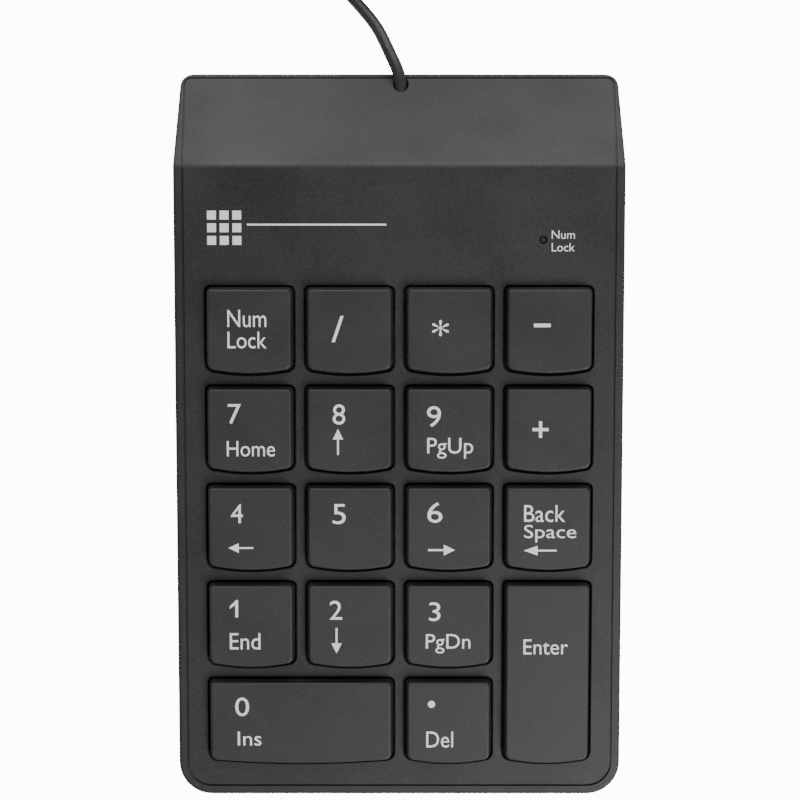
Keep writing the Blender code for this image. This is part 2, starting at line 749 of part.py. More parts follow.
def stack_sheet(name, heights, holes, material_name, tail=None):
    """A rectangular sheet of the switch stack, with an optional tail that reaches the board."""
    half = STACK_HALF_WIDTH
    outline = [(-half, STACK_FRONT_U), (half, STACK_FRONT_U), (half, STACK_REAR_U)]
    if tail:
        outline += [
            (tail[1], STACK_REAR_U), (tail[1], TAIL_END_U), (tail[0], TAIL_END_U), (tail[0], STACK_REAR_U)
        ]
    outline.append((-half, STACK_REAR_U))
    sheet = flat_outline(name, [outline] + holes, *heights, PARTS)
    sheet.parent = DECK
    return dress(sheet, material_name)


def make_dome_sheet():
    sheet = stack_sheet("rubber_dome_sheet", SHEET, tab_slots(), "dome_silicone")
    domes, hollows = [], []
    for i, place in enumerate(switch_places()):
        dome = cone(f"dome_{i}", DOME_BASE, DOME_CROWN, SHEET[0] + 0.2 * MM, DOME_TOP, place, 12)
        hollow = cone(
            f"dome_hollow_{i}", DOME_BASE - DOME_WALL, DOME_CROWN - DOME_WALL, SHEET[0] - 0.3 * MM,
            DOME_TOP - DOME_WALL, place, 12,
        )
        domes.append(helper(dome, parent=DECK))
        hollows.append(helper(hollow, parent=DECK))
    combine_group(sheet, "domes", domes, "UNION")
    combine_group(sheet, "dome_hollows", hollows, "DIFFERENCE")
    return finish(sheet, "dome_silicone")


def make_membranes():
    contacts = [circle(CONTACT_RADIUS, place, 10) for place in switch_places()]
    right_tail = (0.0, 14.5 * MM)
    left_tail = (-20.5 * MM, -6.0 * MM)
    stack_sheet("top_membrane", TOP_MEMBRANE, tab_slots(), "polyester_film", right_tail)
    stack_sheet("spacer_membrane", SPACER, tab_slots() + contacts, "polyester_film")
    stack_sheet("bottom_membrane", BOTTOM_MEMBRANE, tab_slots(), "polyester_film", left_tail)


def make_backing_plate():
    plate = stack_sheet("backing_plate", PLATE, [], "zinc_steel")
    tabs, holes = [], []
    pivot_n = WIRE_BAR_N - KEY_TRAVEL / 2
    for i, (x, u, turn) in enumerate(tab_places()):
        low = (-TAB_THICKNESS / 2, -TAB_WIDTH / 2, PLATE[0] + 0.2 * MM)
        high = (TAB_THICKNESS / 2, TAB_WIDTH / 2, TAB_TOP)
        tab = helper(box(f"tab_{i}", low, high), (x, u, 0), DECK)
        tab.rotation_euler = (0, 0, turn)
        tabs.append(tab)
        hole = cylinder(f"tab_hole_{i}", WIRE_RADIUS + 0.15 * MM, -2 * MM, 2 * MM, sides=12)
        helper(hole, (x, u, pivot_n), DECK)
        hole.rotation_euler = (0, math.pi / 2, turn)
        holes.append(hole)
    combine_group(plate, "plate_tabs", tabs, "UNION")
    combine_group(plate, "plate_tab_holes", holes, "DIFFERENCE")
    return finish(plate, "zinc_steel")


# ---------------------------------------------------------------- electronics

def make_board():
    holes = [circle(SCREW_RADIUS + GAP, (x, CLAMP_U)) for x in CLAMP_SCREWS_X]
    outline = rectangle(*BOARD_X, *BOARD_U)
    board = flat_outline("controller_board", [outline] + holes, *BOARD, PARTS)
    board.parent = DECK
    return dress(board, "board_laminate")


def on_board(obj, material_name):
    link(obj, PARTS, (0, 0, 0), DECK)
    return dress(obj, material_name)


def make_board_parts():
    seat = BOARD[1] + 0.2 * MM
    chip = box("controller_chip", (-16 * MM, 41 * MM, seat), (-9 * MM, 48 * MM, seat + 1.4 * MM))
    on_board(chip, "chip_epoxy")
    crystal = box("crystal_can", (-4.5 * MM, 43.5 * MM, seat), (0.5 * MM, 47.5 * MM, seat + 3.0 * MM))
    on_board(crystal, "zinc_steel")
    place = (20 * MM, 45 * MM)
    on_board(cylinder("filter_capacitor", 2.2 * MM, seat, seat + 3.8 * MM, place), "chip_epoxy")
    half_width, half_length = 5 * MM, 2.6 * MM
    low = (CONNECTOR_X - half_width, CONNECTOR_U - half_length, seat)
    high = (CONNECTOR_X + half_width, CONNECTOR_U + half_length, seat + 4.4 * MM)
    on_board(box("lead_connector", low, high), "white_nylon")
    bulb = [(0, -4.4), (1.0, -4.55), (1.5, -5.2), (1.5, -6.3), (1.8, -6.3), (1.8, -6.8), (0, -6.8)]
    make_turned_on_deck("num_lock_led", bulb, (LED_X, LED_U), "clear_plastic")
    pipe = [(0, -0.3), (0.5, -0.3), (0.5, -2.1), (1.4, -2.1), (1.4, -4.1), (0, -4.1)]
    make_turned_on_deck("light_pipe", pipe, (LED_X, LED_U), "clear_plastic")


def make_turned_on_deck(name, profile, place, material_name):
    obj = turned(name, [(r * MM, n * MM) for r, n in profile], 14, PARTS)
    obj.parent = DECK
    obj.location = (*place, 0)
    return dress(baked(obj), material_name)


def make_clamp():
    holes = [circle(SCREW_RADIUS + GAP, (x, CLAMP_U)) for x in CLAMP_SCREWS_X]
    strip = rectangle(-26 * MM, 20 * MM, CLAMP_U - 2 * MM, CLAMP_U + 2 * MM)
    bar = rectangle(-26.5 * MM, 20.5 * MM, CLAMP_U - 2.6 * MM, CLAMP_U + 2.6 * MM)
    rubber = flat_outline("clamp_strip", [strip] + holes, -5.85 * MM, -4.85 * MM, PARTS)
    steel = flat_outline("membrane_clamp_bar", [bar] + holes, -4.6 * MM, -3.8 * MM, PARTS)
    for obj, material_name in ((rubber, "foot_rubber"), (steel, "zinc_steel")):
        obj.parent = DECK
        dress(obj, material_name)


def screw_profile(head_end, head_low, tip):
    """Pan head above a plain shank, with a short lead-in at the tip, as (radius, height) points."""
    return [
        (0, head_end), (SCREW_HEAD * 0.75, head_end), (SCREW_HEAD, head_end - 0.3 * MM),
        (SCREW_HEAD, head_low), (SCREW_RADIUS, head_low), (SCREW_RADIUS, tip + 0.6 * MM),
        (SCREW_RADIUS * 0.4, tip), (0, tip),
    ]


def make_screws():
    for i, x in enumerate(CLAMP_SCREWS_X):
        profile = screw_profile(-2.5 * MM, -3.6 * MM, -13.6 * MM)
        screw = turned(f"clamp_screw_{i + 1}", profile, 12, PARTS)
        screw.parent = DECK
        screw.location = (x, CLAMP_U, 0)
        dress(baked(screw), "zinc_steel")
    for i, (x, y) in enumerate(both_sides(CASE_SCREWS)):
        tip = min(deck_z(y) - 2.9 * MM, 11.6 * MM)
        profile = screw_profile(-1.3 * MM, -2.6 * MM, -tip)
        screw = turned(f"case_screw_{i + 1}", profile, 12, PARTS)
        screw.rotation_euler = (math.pi, 0, 0)
        screw.location = (x, y, 0)
        dress(baked(screw), "zinc_steel")


def make_feet_and_label():
    for i, (x, y) in enumerate(FOOT_PLACES):
        profile = [
            (0, 1.5 * MM), (FOOT_RADIUS, 1.5 * MM), (FOOT_RADIUS, 0.4 * MM),
            (FOOT_RADIUS - 0.4 * MM, 0), (0, 0),
        ]
        foot = turned(f"rubber_foot_{i + 1}", profile, 20, PARTS)
        foot.location = (x, y, 0)
        dress(baked(foot), "foot_rubber")
    outline = rounded(*LABEL_SIZE, 1.2 * MM, (0, 0))
    label = flat_outline("blank_label", [outline], 0.95 * MM, 1.1 * MM, PARTS)
    dress(label, "label_paper")


# ---------------------------------------------------------------- lead

def make_lead():
    inner = tube("inner_lead", smooth_path(INNER_LEAD_ROUTE, 2.4 * MM), INNER_LEAD_RADIUS, PARTS)
    dress(inner, "cord_pvc")
    cord = tube("usb_cord", smooth_path(CORD_ROUTE, 4 * CORD_RADIUS), CORD_RADIUS, PARTS)
    dress(cord, "cord_pvc")
    tail = tube("usb_cord_end", smooth_path(TAIL_ROUTE, 4 * CORD_RADIUS), CORD_RADIUS, PARTS)
    dress(tail, "cord_pvc")


def make_coil():
    """The wound part of the cord, as a ring with the waist that its tie pulls in."""
    half = COIL_HEIGHT / 2
    cut = 1.6 * MM
    profile = [
        (COIL_INNER + cut, half), (COIL_OUTER - cut, half), (COIL_OUTER, half - cut),
        (COIL_OUTER, cut - half), (COIL_OUTER - cut, -half), (COIL_INNER + cut, -half),
        (COIL_INNER, cut - half), (COIL_INNER, half - cut),
    ]
    ring = turned("cord_coil", profile, 36, PARTS)
    ring.location = COIL_CENTRE
    middle = (COIL_INNER + COIL_OUTER) / 2
    place = COIL_CENTRE + middle * Vector((math.cos(TIE_ANGLE), math.sin(TIE_ANGLE), 0))
    waist = TIE_INSIDE - 2 * GAP
    frame = [rounded(14 * MM, 14 * MM, MM, (0, 0)), rounded(waist, waist, 1.2 * MM, (0, 0))]
    half_cut = TIE_WIDTH / 2 + GAP
    groove = flat_outline("coil_waist", frame, -half_cut, half_cut, HELPERS)
    loops = [
        rounded(TIE_OUTSIDE, TIE_OUTSIDE, 1.8 * MM, (0, 0)),
        rounded(TIE_INSIDE, TIE_INSIDE, 1.2 * MM, (0, 0)),
    ]
    tie = flat_outline("coil_tie", loops, -TIE_WIDTH / 2, TIE_WIDTH / 2, PARTS)
    for obj in (groove, tie):
        obj.location = place
        obj.rotation_euler = (math.pi / 2, 0, TIE_ANGLE)
    combine(ring, [as_helper(groove)], "DIFFERENCE")
    dress(baked(ring), "cord_pvc")
    dress(tie, "foot_rubber")


def make_plug():
    """USB plug: moulded grip with a short nose, steel shell and contact tongue, pointing at the case."""
    nose_start, grip_start, grip_end, shell_end = 118.6 * MM, 115.8 * MM, 100.7 * MM, 88.7 * MM
    low = (PLUG_X - 6 * MM, grip_end, PLUG_Z - 3.5 * MM)
    high = (PLUG_X + 6 * MM, grip_start, PLUG_Z + 3.5 * MM)
    grip = helper(box("plug_grip", low, high))
    edges = grip.modifiers.new("round", "BEVEL")
    edges.width = 1.2 * MM
    edges.segments = 2
    nose = helper(cone("plug_nose", 2.9 * MM, 2.0 * MM, 0.0, nose_start - grip_start + MM, sides=16))
    nose.rotation_euler = (-math.pi / 2, 0, 0)
    nose.location = (PLUG_X, grip_start - MM, PLUG_Z)
    combine(grip, [nose], "UNION")
    finish(grip, "cord_pvc").name = "plug_overmould"
    outer = [rounded(12 * MM, 4.5 * MM, 0.6 * MM, (0, 0)), rounded(11.4 * MM, 3.9 * MM, 0.4 * MM, (0, 0))]
    length = grip_end - GAP - shell_end
    shell = flat_outline("plug_shell", outer, -length / 2, length / 2, PARTS)
    shell.rotation_euler = (math.pi / 2, 0, 0)
    shell.location = (PLUG_X, shell_end + length / 2, PLUG_Z)
    dress(shell, "zinc_steel")
    low = (PLUG_X - 5.4 * MM, shell_end + 0.5 * MM, PLUG_Z - 0.15 * MM)
    high = (PLUG_X + 5.4 * MM, grip_end - GAP, PLUG_Z + 1.65 * MM)
    dress(link(box("plug_tongue", low, high), PARTS), "white_nylon")


# ---------------------------------------------------------------- assembly

clear_scene()
PARTS = new_collection("numeric_keypad")
HELPERS = new_collection("cutters")
DECK = link(bpy.data.objects.new("deck_frame", None), PARTS, (0, 0, deck_z(0.0)))
DECK.rotation_euler = (DECK_TILT, 0, 0)
bpy.context.view_layer.update()

make_top_case()
make_bottom_case()
make_keys()
make_stabilisers()
make_dome_sheet()
make_membranes()
make_backing_plate()
make_board()
make_board_parts()
make_clamp()
make_screws()
make_feet_and_label()
make_lead()
make_coil()
make_plug()
HELPERS.hide_render = True
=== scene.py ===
"""Looks of the wired numeric keypad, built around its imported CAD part.

World frame: +X right, +Y to the rear, +Z up, with the desk at z 0.
Deck frame: x right, u along the sloping deck towards the rear, n out of the deck; n is 0 on its top face.
"""

import json
import math

import bmesh
import bpy
from mathutils import Matrix, Vector


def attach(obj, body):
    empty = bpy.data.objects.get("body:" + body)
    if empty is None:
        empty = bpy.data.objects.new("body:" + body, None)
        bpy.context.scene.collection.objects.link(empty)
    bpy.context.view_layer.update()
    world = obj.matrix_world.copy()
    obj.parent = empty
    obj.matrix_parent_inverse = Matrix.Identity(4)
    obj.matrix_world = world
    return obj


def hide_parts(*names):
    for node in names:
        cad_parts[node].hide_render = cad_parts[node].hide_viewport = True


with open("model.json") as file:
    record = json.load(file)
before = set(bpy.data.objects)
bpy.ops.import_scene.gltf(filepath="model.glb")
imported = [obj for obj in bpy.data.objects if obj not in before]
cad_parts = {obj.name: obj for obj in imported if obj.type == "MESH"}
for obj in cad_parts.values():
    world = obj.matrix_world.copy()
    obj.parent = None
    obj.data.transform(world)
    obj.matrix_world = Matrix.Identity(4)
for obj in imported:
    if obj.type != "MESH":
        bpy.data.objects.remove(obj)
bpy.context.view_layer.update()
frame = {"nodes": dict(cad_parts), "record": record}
NODES = frame["nodes"]

MM = 0.001

# Case
CASE_WIDTH = 86.0 * MM
FRONT_Y = -70.5 * MM
REAR_Y = 70.85 * MM
FRONT_CORNER = 6.4 * MM
REAR_CORNER = 2.5 * MM
CREST_Y = 51.1 * MM
CREST_Z = 24.0 * MM
CREST_ROUNDING = 2.1 * MM
REAR_EDGE_Z = 7.3 * MM
DECK_TILT = math.radians(6.5)
FLOOR_LOW = 1.0 * MM
SPARE = 0.02 * MM
RIM_ROUNDING = 0.7 * MM
BASE_ROUNDING = 0.8 * MM
WELL_CHAMFER = 0.2 * MM
WELL_CORNERS = {"rear_corner": 0.8 * MM, "front_corner": 1.4 * MM}
ABOVE_ALL = 40 * MM
UNDER_RIM = 3 * MM
GROOVE_INSET = 1.8 * MM
GROOVE_INSET_REAR = 0.9 * MM
GROOVE_WIDTH = 0.4 * MM
GROOVE_DEPTH = 0.4 * MM
GROOVE_TURN = 1.2 * MM

# Keys
PITCH = 19.05 * MM
FIRST_ROW_U = 19.98 * MM
SKIRT = 16.6 * MM
OPENING_GROW = 0.3 * MM
KEY_LEAN = 0.4 * MM
KEY_RISE = 2.4 * MM
KEY_CROWN = 2.38 * MM
KEY_FILLET = 0.35 * MM
KEY_REAR_CORNER = 1.0 * MM
KEY_FRONT_CORNER = 1.6 * MM
KEY_FRONT_BOW = 0.65 * MM
SKIRT_LOW = -9 * MM
SKIRT_TOP = -1.2 * MM
SKIRT_SPARE = 2 * MM
PRINT_LOW = 2.36 * MM
PRINT_HIGH = 2.39 * MM
SIGN_STROKE = 0.6 * MM
PICTOGRAM_PLACE = (-33.3 * MM, 39.6 * MM)
PICTOGRAM_PITCH = 2.4 * MM
PICTOGRAM_DOT = 1.7 * MM
LAMP_WORDS_X = 31.2 * MM
LAMP_WORDS_SIZE = (4.4 * MM, 1.6 * MM)

# Cord, plug and coil
CORD_RADIUS = 1.2 * MM
COIL_CENTRE = (2.5, 112.0)
COIL_TRACKS = (18.2, 15.8, 13.4, 11.0)
COIL_LEVELS = (1.2, 3.6, 6.0, 8.4)
COIL_TURNS = 15
COIL_EXTRA_TURN = 80
COIL_MIDDLE_RADIUS = 14.6
COIL_MIDDLE_HEIGHT = 4.8
TIE_ANGLE = 300
TIE_SPREAD = 16
TIE_SQUEEZE = 0.16
TIE_LIFT = 0.2
CORD_ROUTE = [
    (0.33, 64.5, 9.2), (0.33, 66.6, 9.2), (0.25, 68.6, 9.2), (-0.05, 70.3, 9.15), (-0.7, 72.2, 8.9),
    (-1.6, 74.2, 8.3), (-2.43, 76.1, 7.7), (-3.28, 78.0, 6.9), (-4.25, 79.9, 6.0), (-5.4, 81.7, 5.1),
    (-6.75, 83.5, 4.2), (-8.2, 85.3, 3.3), (-9.75, 87.1, 2.5), (-11.3, 89.1, 1.9), (-12.8, 91.4, 1.5),
    (-14.1, 94.0, 1.25), (-15.1, 96.8, 1.2), (-15.6, 99.5, 1.2), (-15.7, 102.0, 1.2), (-15.7, 107.0, 1.2),
]
TAIL_ROUTE = [
    (5.0, 131.0, 8.3), (10.5, 131.9, 8.0), (13.2, 132.3, 7.5), (16.0, 132.4, 6.9), (18.8, 132.0, 6.3),
    (21.5, 131.2, 5.7), (24.0, 129.9, 5.1), (26.3, 128.2, 4.6), (28.2, 126.1, 4.2), (29.7, 123.8, 3.8),
    (30.7, 121.4, 3.6), (31.2, 119.0, 3.5),
]
PLUG_X = 31.2 * MM
PLUG_Z = 3.5 * MM
FLOOR_HALF = 3.0
FLOOR_GLOW = 12.0


# ---------------------------------------------------------------- view and light

def add_object(name, data, place=(0, 0, 0), turn=(0, 0, 0)):
    obj = bpy.data.objects.new(name, data)
    bpy.context.scene.collection.objects.link(obj)
    obj.location = place
    obj.rotation_euler = turn
    return obj


def make_camera():
    """Looks straight down from 45 cm, with the rear of the keypad at the top of the picture."""
    data = bpy.data.cameras.new("view_from_above")
    data.sensor_width = 36
    data.lens = 100.44
    bpy.context.scene.camera = add_object("view_from_above", data, (0.00013, 0.0066, 0.447))


def area_light(name, place, target, size, power):
    data = bpy.data.lights.new(name, "AREA")
    data.shape = "RECTANGLE"
    data.size, data.size_y = size
    data.energy = power
    light = add_object(name, data, place)
    light.rotation_euler = (Vector(target) - Vector(place)).to_track_quat("-Z", "Y").to_euler()


def make_lights():
    area_light("rear_low_softbox", (0.0, 0.9, 0.28), (0, 0.06, 0.015), (1.2, 0.35), 5.5)
    area_light("rear_softbox", (0.0, 0.75, 0.75), (0, 0.03, 0), (1.1, 0.25), 3.0)
    area_light("front_fill", (0.3, -0.45, 0.5), (0.02, -0.05, 0), (0.4, 0.4), 4.6)
    world = bpy.data.worlds.new("studio")
    world.use_nodes = True
    world.node_tree.nodes["Background"].inputs["Color"].default_value = (0.97, 0.98, 1.0, 1.0)
    world.node_tree.nodes["Background"].inputs["Strength"].default_value = 0.35
    bpy.context.scene.world = world


# ---------------------------------------------------------------- surfaces

def add_node(tree, kind, **settings):
    node = tree.nodes.new("ShaderNode" + kind)
    for key, value in settings.items():
        setattr(node, key, value)
    return node


def noise(tree, where, feature, detail=2.0, roughness=0.5):
    """Noise whose features are about `feature` metres across."""
    node = add_node(tree, "TexNoise")
    node.inputs["Scale"].default_value = 1.0 / feature
    node.inputs["Detail"].default_value = detail
    node.inputs["Roughness"].default_value = roughness
    tree.links.new(where, node.inputs["Vector"])
    return node.outputs["Fac"]


def spread(tree, value, low, high, start=0.3, end=0.7):
    """Maps a value between start and end onto low to high."""
    node = add_node(tree, "MapRange")
    for key, number in (("From Min", start), ("From Max", end), ("To Min", low), ("To Max", high)):
        node.inputs[key].default_value = number
    tree.links.new(value, node.inputs["Value"])
    return node.outputs["Result"]


def sum_of(tree, one, two, operation="ADD"):
    node = add_node(tree, "Math", operation=operation)
    tree.links.new(one, node.inputs[0])
    tree.links.new(two, node.inputs[1])
    return node.outputs["Value"]


def blend_colour(tree, factor, one, two):
    """Mixes two colours; either is a socket or a plain (r, g, b)."""
    node = add_node(tree, "Mix", data_type="RGBA")
    tree.links.new(factor, node.inputs[0])
    for socket, colour in ((node.inputs[6], one), (node.inputs[7], two)):
        if isinstance(colour, tuple):
            socket.default_value = (*colour, 1.0)
        else:
            tree.links.new(colour, socket)
    return node.outputs[2]


def surface(name, colour, roughness, metallic=0.0, grain=0.3 * MM, relief=0.02 * MM, mottle=0.08,
            gloss_change=0.08, edge_wear=0.0, dust=0.0, see_through=0.0, streaks=None):
    """A worked surface: grain in relief, slow patches of tone and gloss, rubbed edges, a little dust."""
    made = bpy.data.materials.new(name)
    made.use_nodes = True
    tree = made.node_tree
    shader = tree.nodes["Principled BSDF"]
    where = add_node(tree, "TexCoord").outputs["Object"]
    if streaks:
        stretch = add_node(tree, "Mapping")
        stretch.inputs["Scale"].default_value = streaks
        tree.links.new(where, stretch.inputs["Vector"])
        grain_place = stretch.outputs["Vector"]
    else:
        grain_place = where
    fine = noise(tree, grain_place, grain, detail=3.0, roughness=0.6)
    slow = noise(tree, where, 14 * MM, detail=3.0)
    dark = tuple(channel * (1 - mottle) for channel in colour)
    light = tuple(min(channel * (1 + mottle), 1.0) for channel in colour)
    tone = sum_of(tree, spread(tree, slow, 0.0, 0.3), spread(tree, fine, 0.0, 0.7, 0.38, 0.62))
    base = blend_colour(tree, tone, dark, light)
    if edge_wear:
        geometry = add_node(tree, "NewGeometry")
        scuffs = noise(tree, where, 1.1 * MM, detail=4.0)
        edges = spread(tree, geometry.outputs["Pointiness"], 0.0, edge_wear, 0.52, 0.6)
        worn = sum_of(tree, edges, spread(tree, scuffs, 0.0, 1.0, 0.42, 0.62), "MULTIPLY")
        rubbed = tuple(min(channel * 1.7 + 0.02, 1.0) for channel in colour)
        base = blend_colour(tree, worn, base, rubbed)
    if dust:
        specks = noise(tree, where, 0.9 * MM, detail=1.0)
        base = blend_colour(tree, spread(tree, specks, 0.0, dust, 0.68, 0.74), base, (0.45, 0.44, 0.42))
    tree.links.new(base, shader.inputs["Base Color"])
    gloss = sum_of(
        tree,
        spread(tree, slow, roughness - gloss_change, roughness + gloss_change),
        spread(tree, fine, -gloss_change / 3, gloss_change / 3),
    )
    tree.links.new(gloss, shader.inputs["Roughness"])
    shader.inputs["Metallic"].default_value = metallic
    if see_through:
        shader.inputs["Transmission Weight"].default_value = see_through
    bump = add_node(tree, "Bump")
    bump.inputs["Strength"].default_value = 0.5
    bump.inputs["Distance"].default_value = relief
    tree.links.new(fine, bump.inputs["Height"])
    tree.links.new(bump.outputs["Normal"], shader.inputs["Normal"])
    return made


SURFACES = {
    "case_top": surface("case_top_moulding", (0.0167, 0.0166, 0.0169), 0.5, grain=0.35 * MM, relief=0.06 * MM,
                        mottle=0.5, edge_wear=0.2),
    "case_bottom": surface("case_bottom_moulding", (0.015, 0.0152, 0.0157), 0.58, relief=0.04 * MM,
                           grain=0.4 * MM, mottle=0.25, edge_wear=0.25),
    "key_plastic": surface("key_moulding", (0.0212, 0.021, 0.0214), 0.5, grain=0.25 * MM,
                           relief=0.04 * MM, mottle=0.45, gloss_change=0.07, edge_wear=0.06),
    "dome_silicone": surface("silicone_rubber", (0.50, 0.52, 0.54), 0.55, relief=0.01 * MM, dust=0.1),
    "membrane_film": surface("polyester_film", (0.46, 0.52, 0.50), 0.3, relief=0.004 * MM, mottle=0.05),
    "plate_steel": surface("zinc_plate", (0.55, 0.56, 0.58), 0.36, metallic=1.0, relief=0.01 * MM,
                           grain=0.5 * MM, mottle=0.1, streaks=(1.0, 0.12, 1.0)),
    "screw_steel": surface("screw_zinc", (0.50, 0.51, 0.53), 0.32, metallic=1.0, relief=0.01 * MM,
                           mottle=0.12, edge_wear=0.3),
    "bright_metal": surface("nickel_shell", (0.66, 0.67, 0.69), 0.25, metallic=1.0, relief=0.006 * MM,
                            mottle=0.07, streaks=(1.0, 0.1, 1.0)),
    "board_laminate": surface("solder_mask", (0.02, 0.12, 0.05), 0.4, relief=0.01 * MM, mottle=0.15),
    "chip_epoxy": surface("moulded_epoxy", (0.018, 0.018, 0.02), 0.5, relief=0.01 * MM),
    "clear_plastic": surface("smoked_resin", (0.03, 0.05, 0.03), 0.2, relief=0.003 * MM, mottle=0.04,
                             see_through=0.3),
    "white_nylon": surface("white_nylon", (0.62, 0.60, 0.56), 0.45, relief=0.008 * MM, mottle=0.06),
    "black_rubber": surface("black_rubber", (0.02, 0.02, 0.021), 0.75, relief=0.03 * MM, mottle=0.15,
                            dust=0.25),
    "label_stock": surface("label_film", (0.60, 0.60, 0.58), 0.5, relief=0.008 * MM, mottle=0.04),
    "cord_jacket": surface("cord_jacket", (0.021, 0.0211, 0.0214), 0.42, relief=0.012 * MM,
                           grain=0.35 * MM, mottle=0.2, gloss_change=0.06, dust=0.05),
    "plug_grip": surface("plug_moulding", (0.015, 0.0152, 0.0156), 0.48, relief=0.02 * MM, mottle=0.1,
                         edge_wear=0.2),
}
PRINT = surface("white_print", (0.9, 0.9, 0.9), 0.5, grain=0.15 * MM, relief=0.004 * MM, mottle=0.06)
CONTACT_GOLD = surface("contact_gold", (0.75, 0.56, 0.25), 0.3, metallic=1.0, relief=0.003 * MM)


def dress_cad_nodes():
    """Gives every CAD node the surface of its material slot."""
    for part in frame["record"]["subparts"]:
        node = NODES[part["node"]]
        for index in range(len(node.data.materials)):
            node.data.materials[index] = SURFACES[part["material_slot"]]


# ---------------------------------------------------------------- shapes

def deck_z(y):
    return CREST_Z - (CREST_Y - y) * math.tan(DECK_TILT)


REAR_SLOPE = math.atan2(CREST_Z - REAR_EDGE_Z, REAR_Y - CREST_Y)
DECK = Matrix.Translation((0, 0, deck_z(0.0))) @ Matrix.Rotation(DECK_TILT, 4, "X")
HALF_TURN = (REAR_SLOPE + DECK_TILT) / 2
CREST_BACK = CREST_ROUNDING / math.cos(HALF_TURN)
CREST_LEAN = (REAR_SLOPE - DECK_TILT) / 2
CREST_CENTRE = (
    CREST_Y - CREST_BACK * math.sin(CREST_LEAN), CREST_Z - CREST_BACK * math.cos(CREST_LEAN)
)
CREST_START = CREST_CENTRE[0] - CREST_ROUNDING * math.sin(DECK_TILT)
CREST_END = CREST_CENTRE[0] + CREST_ROUNDING * math.sin(REAR_SLOPE)


def roof_z(y):
    """Height of the case's top at a depth: deck, rounded crest, rear slope."""
    if y < CREST_START:
        return deck_z(y)
    if y > CREST_END:
        return CREST_Z - (y - CREST_Y) * math.tan(REAR_SLOPE)
    return CREST_CENTRE[1] + math.sqrt(CREST_ROUNDING**2 - (y - CREST_CENTRE[0]) ** 2)


def arc(centre, radius, start, end, steps):
    angles = [math.radians(start + (end - start) * step / steps) for step in range(steps + 1)]
    return [(centre[0] + radius * math.cos(a), centre[1] + radius * math.sin(a)) for a in angles]


def side_stations():
    """Depths along the case's straight sides, close together over the crest."""
    crest = [CREST_START + (CREST_END - CREST_START) * step / 10 for step in range(11)]
    return [-60 * MM, -20 * MM, 20 * MM] + crest + [60 * MM]


def half_plan(inset):
    """Right half of the case's plan, from the front to the rear, moved inwards."""
    half = CASE_WIDTH / 2
    front = arc((half - FRONT_CORNER, FRONT_Y + FRONT_CORNER), FRONT_CORNER - inset, 270, 360, 12)
    rear = arc((half - REAR_CORNER, REAR_Y - REAR_CORNER), REAR_CORNER - inset, 0, 90, 6)
    return front + [(half - inset, y) for y in side_stations()] + rear


def both_sides(right):
    """A whole plan from its right half."""
    return right + [(-x, y) for x, y in reversed(right)]


def skinned(bm, rings):
    """Adds rings of points with faces between each two, and returns their vertices."""
    made = [[bm.verts.new(point) for point in ring] for ring in rings]
    for low, high in zip(made, made[1:]):
        for i in range(len(low)):
            j = (i + 1) % len(low)
            bm.faces.new((low[i], low[j], high[j], high[i]))
    return made


def lofted(name, rings, close_low=True, close_high=True):
    """A mesh through rings of points, with one face on the first and on the last ring if wanted."""
    bm = bmesh.new()
    made = skinned(bm, rings)
    if close_low:
        bm.faces.new(made[0])
    if close_high:
        bm.faces.new(made[-1])
    bmesh.ops.recalc_face_normals(bm, faces=bm.faces)
    return bm_object(name, bm)


def bm_object(name, bm):
    mesh = bpy.data.meshes.new(name)
    bm.to_mesh(mesh)
    bm.free()
    return add_object(name, mesh)


def case_rim():
    """The outer solid of the top case, with a soft rim all round."""
    rings = []
    levels = [(-SPARE, None)] + [
        (RIM_ROUNDING * (1 - math.cos(math.radians(angle))) - SPARE,
         RIM_ROUNDING * (1 - math.sin(math.radians(angle)))) for angle in (0, 18, 36, 54, 72, 90)
    ]
    for inset, drop in levels:
        plan = both_sides(half_plan(inset))
        if drop is None:
            rings.append([(x, y, UNDER_RIM) for x, y in plan])
        else:
            rings.append([(x, y, roof_z(y) - drop + SPARE) for x, y in plan])
    bm = bmesh.new()
    made = skinned(bm, rings)
    bm.faces.new(made[0])
    top = made[-1]
    count = len(top)
    for i in range(count // 2 - 1):
        bm.faces.new((top[i], top[i + 1], top[count - 2 - i], top[count - 1 - i]))
    bmesh.ops.recalc_face_normals(bm, faces=bm.faces)
    return bm_object("case_rim", bm)


def base_rim():
    """The outer solid of the bottom case, with a rounded lower edge."""
    rings = []
    for angle in (90, 67.5, 45, 22.5, 0):
        a = math.radians(angle)
        inset = BASE_ROUNDING * (1 - math.cos(a)) - SPARE
        z = FLOOR_LOW + BASE_ROUNDING * (1 - math.sin(a)) - SPARE
        rings.append([(x, y, z) for x, y in both_sides(half_plan(inset))])
    rings.append([(x, y, ABOVE_ALL) for x, y in both_sides(half_plan(-SPARE))])
    return lofted("base_rim", rings)


def groove_path():
    """Closed plan line of the fine groove inside the rim, from the front round the right side."""
    half = CASE_WIDTH / 2
    inset = GROOVE_INSET
    corner = FRONT_CORNER - inset
    right = arc((half - FRONT_CORNER, FRONT_Y + FRONT_CORNER), corner, 270, 360, 12)
    right += [(half - inset, y) for y in side_stations() if y < CREST_Y]
    right.append((half - inset, CREST_Y))
    turn = GROOVE_TURN
    rear = REAR_Y - GROOVE_INSET_REAR
    for step in range(1, 7):
        share = step / 6
        y = CREST_Y + (rear - turn - CREST_Y) * share
        right.append((half - inset + (inset - GROOVE_INSET_REAR) * share, y))
    right += arc((half - GROOVE_INSET_REAR - turn, rear - turn), turn, 15, 90, 5)
    return both_sides(right)


